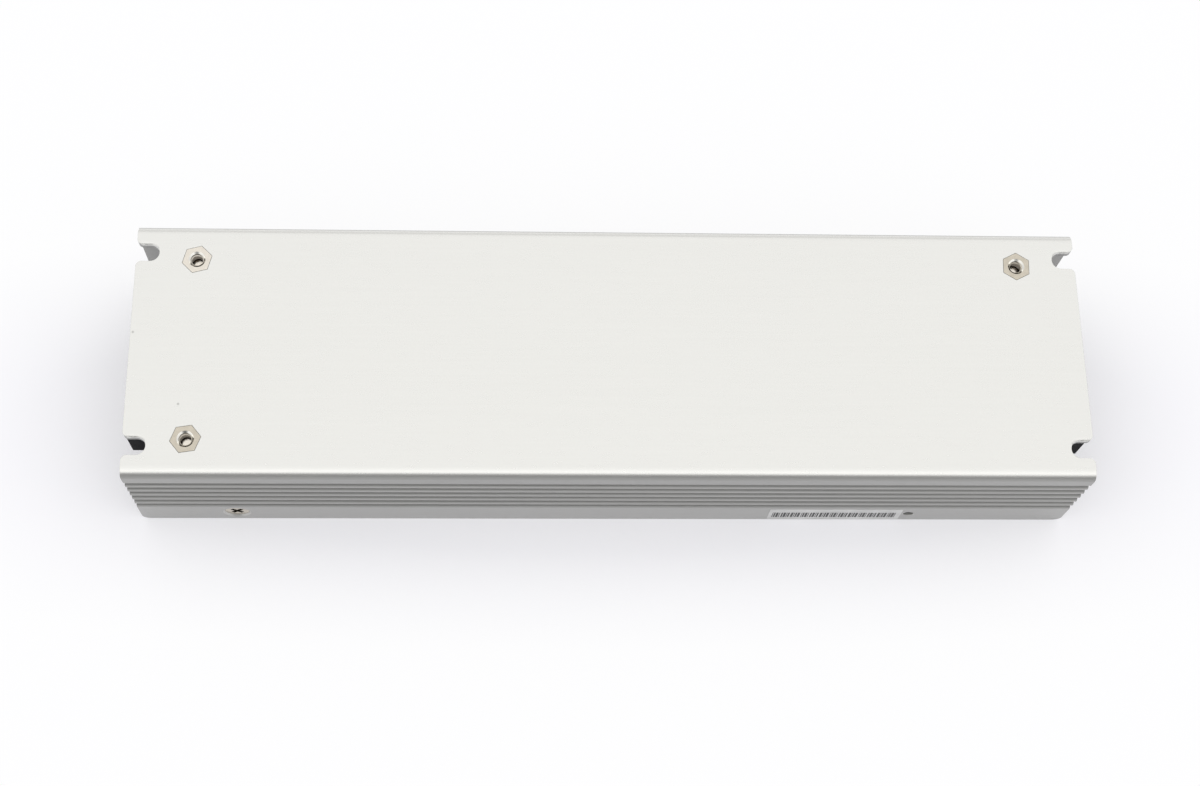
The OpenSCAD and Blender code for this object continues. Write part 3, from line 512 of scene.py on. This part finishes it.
def add_piece(name, shape, materials):
    """Makes a piece of a bmesh, in millimetres so far, and lets it ride on the housing."""
    bmesh.ops.recalc_face_normals(shape, faces=shape.faces)
    bmesh.ops.scale(shape, vec=(MM, MM, MM), verts=shape.verts)
    mesh = bpy.data.meshes.new(name)
    shape.to_mesh(mesh)
    shape.free()
    for material in materials:
        mesh.materials.append(looks[material])
    piece = bpy.data.objects.new(name, mesh)
    scene.collection.objects.link(piece)
    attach(piece, HOUSING)
    return piece


def add_plate(shape, outline, low, high, material):
    """Adds a flat solid on the front wall, from an outline in X and Z and two heights over the wall."""
    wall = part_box("base_channel")[0][1] / MM
    lower = [shape.verts.new((x, wall - low, z)) for x, z in outline]
    upper = [shape.verts.new((x, wall - high, z)) for x, z in outline]
    faces = [shape.faces.new(lower), shape.faces.new(upper)]
    for i, corner in enumerate(lower):
        faces.append(shape.faces.new((lower[i - 1], corner, upper[i], upper[i - 1])))
    for face in faces:
        face.material_index = material


def rounded_outline(middle, size, radius, steps=6):
    """Corners of a rectangle with round corners, anticlockwise."""
    outline = []
    for quarter, (side_x, side_z) in enumerate(((1, 1), (-1, 1), (-1, -1), (1, -1))):
        for step in range(steps + 1):
            angle = math.radians(90.0 * (quarter + step / steps))
            outline.append((
                middle[0] + side_x * (size[0] / 2 - radius) + radius * math.cos(angle),
                middle[1] + side_z * (size[1] / 2 - radius) + radius * math.sin(angle),
            ))
    return outline


def bar_widths():
    """Widths of each bar and of the gap after it, which cycle through a few values and carry no meaning."""
    widths = []
    for i in range(BAR_COUNT):
        bar = 1 + i % BAR_CYCLE
        gap = 2 if i % GAP_CYCLE == GAP_CYCLE - 1 else 1
        widths.append((bar, gap))
    return widths


def build_sticker():
    """Pale sticker with plain bars, of paper (material 0) and ink (material 1)."""
    shape = bmesh.new()
    add_plate(shape, rounded_outline(STICKER_MIDDLE, STICKER_SIZE, STICKER_CORNER), 0.0, STICKER_THICK, 0)
    widths = bar_widths()
    unit = BARS_SIZE[0] / sum(bar + gap for bar, gap in widths)
    left = STICKER_MIDDLE[0] - BARS_SIZE[0] / 2
    for bar, gap in widths:
        right = left + bar * unit
        corners = ((left, BARS_BOTTOM), (right, BARS_BOTTOM))
        outline = (*corners, *((x, z + BARS_SIZE[1]) for x, z in reversed(corners)))
        add_plate(shape, outline, STICKER_THICK, STICKER_THICK + INK_THICK, 1)
        left = right + gap * unit
    add_piece("sticker", shape, ("paper", "ink"))


def build_thread(name, place):
    """Ridge of the thread in a standoff mouth, which runs out at both ends."""
    shape = bmesh.new()
    step_count = round((THREAD_HIGH - THREAD_LOW) / THREAD_PITCH * THREAD_STEPS)
    rings = []
    for step in range(step_count + 1):
        angle = 2.0 * math.pi * step / THREAD_STEPS
        height = THREAD_LOW + THREAD_PITCH * step / THREAD_STEPS
        full = min(1.0, (step + 1) / THREAD_RUNOUT, (step_count + 1 - step) / THREAD_RUNOUT)
        crest = THREAD_ROOT + (THREAD_CREST - THREAD_ROOT) * full
        flank = FLANK_SHARE * THREAD_PITCH * full
        tip = TIP_SHARE * THREAD_PITCH * full
        section = ((THREAD_ROOT, -flank), (crest, -tip), (crest, tip), (THREAD_ROOT, flank))
        rings.append([
            shape.verts.new((place[0] + r * math.cos(angle), place[1] + r * math.sin(angle), height + z))
            for r, z in section
        ])
    for first, second in zip(rings, rings[1:]):
        for i in range(len(first)):
            shape.faces.new((first[i - 1], first[i], second[i], second[i - 1]))
    shape.faces.new(rings[0])
    shape.faces.new(rings[-1])
    # The ridge takes the nickel with painted shade deep in the hole
    piece = add_piece("thread_" + name, shape, ("hole_shaded_nickel",))


build_sticker()
for name, place in STANDOFFS.items():
    build_thread(name, place)


# Stage: pale floor, soft lamp overhead and light from the room

FLOOR_COLOUR = (0.95, 0.945, 0.99, 1.0)
FLOOR_SIZE = 6.0
# Share of plain white in the floor, as pairs of depth in the soft pool of shadow round the part and share
FLOOR_WHITE = ((0.0, 0.85), (0.45, 0.3), (1.0, 0.3))
POOL_MIDDLE = (0.0, -0.0085)
POOL_SIZE = (0.26, 0.055)
# Share of the part's half length and half width within which the floor counts as under the part
UNDER_SHARE = 0.99
SOFTBOX_PLACE = Vector((0.0, 0.135, 0.9))
SOFTBOX_SIZE = (2.0, 2.13)
SOFTBOX_POWER = 4.7
# Room light by direction, as pairs of the direction's Y and the level, from low in front to low behind
ROOM_LIGHT = ((-1.0, 0.10), (-0.94, 0.12), (-0.78, 1.0), (0.36, 0.76), (1.0, 0.70))


def clear_of_part(tree, place):
    """1 on the floor outside the part's outline, 0 under the part, where no white shows in reflections."""
    half_size = (cad_box[1][0], cad_box[1][1], 1.0)
    share = tree.add("ShaderNodeVectorMath", {1: half_size}, operation="DIVIDE")
    distance = tree.add("ShaderNodeVectorMath", operation="ABSOLUTE")
    parts = tree.add("ShaderNodeSeparateXYZ")
    outside = tree.add("ShaderNodeMath", {1: UNDER_SHARE}, operation="GREATER_THAN")
    tree.join(place, share.inputs[0])
    tree.join(share.outputs["Vector"], distance.inputs[0])
    tree.join(distance.outputs["Vector"], parts.inputs["Vector"])
    outermost = tree.combine("MAXIMUM", parts.outputs["X"], parts.outputs["Y"])
    tree.join(outermost, outside.inputs[0])
    return outside.outputs["Value"]


def pool_depth(tree, place):
    """0 outside the pool of shadow round the part, rising to 1 in its middle."""
    mapping = tree.add(
        "ShaderNodeMapping",
        {"Location": (*POOL_MIDDLE, 0.0), "Scale": (*POOL_SIZE, 1.0)},
        vector_type="TEXTURE",
    )
    pool = tree.add("ShaderNodeTexGradient", gradient_type="SPHERICAL")
    tree.join(place, mapping.inputs["Vector"])
    tree.join(mapping.outputs["Vector"], pool.inputs["Vector"])
    return pool.outputs["Fac"]


def floor_material():
    """Pale floor that keeps the shadow; part of its white is for camera, glossy and clear rays only."""
    material = bpy.data.materials.new("floor")
    tree = Tree(material)
    tree.nodes.clear()
    place = tree.add("ShaderNodeTexCoord").outputs["Object"]
    rays = tree.add("ShaderNodeLightPath")
    seen = rays.outputs["Is Camera Ray"]
    for kind in ("Is Glossy Ray", "Is Transmission Ray"):
        seen = tree.combine("MAXIMUM", seen, rays.outputs[kind])
    shown = tree.ramp(pool_depth(tree, place), FLOOR_WHITE)
    for factor in (seen, clear_of_part(tree, place)):
        shown = tree.combine("MULTIPLY", shown, factor)
    matt = tree.add("ShaderNodeBsdfDiffuse", {"Color": FLOOR_COLOUR})
    white = tree.add("ShaderNodeEmission")
    blend = tree.add("ShaderNodeMixShader")
    output = tree.add("ShaderNodeOutputMaterial")
    tree.join(shown, blend.inputs["Fac"])
    tree.join(matt.outputs["BSDF"], blend.inputs[1])
    tree.join(white.outputs["Emission"], blend.inputs[2])
    tree.join(blend.outputs["Shader"], output.inputs["Surface"])
    return material


def build_floor():
    """Plain square floor at height 0, under the middle of the part."""
    shape = bmesh.new()
    bmesh.ops.create_grid(shape, x_segments=1, y_segments=1, size=FLOOR_SIZE / 2)
    mesh = bpy.data.meshes.new("floor")
    shape.to_mesh(mesh)
    shape.free()
    floor = bpy.data.objects.new("floor", mesh)
    scene.collection.objects.link(floor)
    mesh.materials.append(floor_material())


def build_softbox():
    """Wide soft lamp that looks straight down from above."""
    lamp = bpy.data.lights.new("softbox", "AREA")
    lamp.shape = "RECTANGLE"
    lamp.size, lamp.size_y = SOFTBOX_SIZE
    lamp.energy = SOFTBOX_POWER
    softbox = bpy.data.objects.new("softbox", lamp)
    softbox.location = SOFTBOX_PLACE
    scene.collection.objects.link(softbox)


def build_world():
    """Room light that is bright overhead, softer behind and dim low in front of the part."""
    world = bpy.data.worlds.new("room")
    tree = Tree(world)
    coordinates = tree.add("ShaderNodeTexCoord")
    parts = tree.add("ShaderNodeSeparateXYZ")
    along = tree.add("ShaderNodeMapRange", {"From Min": -1.0})
    tree.join(coordinates.outputs["Generated"], parts.inputs["Vector"])
    tree.join(parts.outputs["Y"], along.inputs["Value"])
    stops = [((direction + 1.0) / 2.0, level) for direction, level in ROOM_LIGHT]
    light = tree.ramp(along.outputs["Result"], stops)
    tree.join(light, tree.nodes["Background"].inputs["Color"])
    scene.world = world


build_floor()
build_softbox()
build_world()


# Camera, from a fit to the plate and wall edges in the photo, with its lens and sensor in millimetres

CAMERA_PLACE = Vector((-0.02567, -0.16401, 0.44006))
CAMERA_AZIMUTH = 8.386
CAMERA_ELEVATION = 69.185
CAMERA_ROLL = 8.149
CAMERA_LENS = 57.44
SENSOR_WIDTH = 36.0


def build_camera():
    """Camera at its place, turned by its azimuth, its angle of looking down and its roll."""
    azimuth, elevation, roll = (math.radians(a) for a in (CAMERA_AZIMUTH, CAMERA_ELEVATION, CAMERA_ROLL))
    forward = Vector((
        math.sin(azimuth) * math.cos(elevation),
        math.cos(azimuth) * math.cos(elevation),
        -math.sin(elevation),
    ))
    level = Vector((math.cos(azimuth), -math.sin(azimuth), 0.0))
    right = math.cos(roll) * level + math.sin(roll) * level.cross(forward)
    up = right.cross(forward)
    lens = bpy.data.cameras.new("camera")
    lens.lens = CAMERA_LENS
    lens.sensor_width = SENSOR_WIDTH
    camera = bpy.data.objects.new("camera", lens)
    turn = Matrix((right, up, -forward)).transposed().to_4x4()
    camera.matrix_world = Matrix.Translation(CAMERA_PLACE) @ turn
    scene.collection.objects.link(camera)
    scene.camera = camera


build_camera()
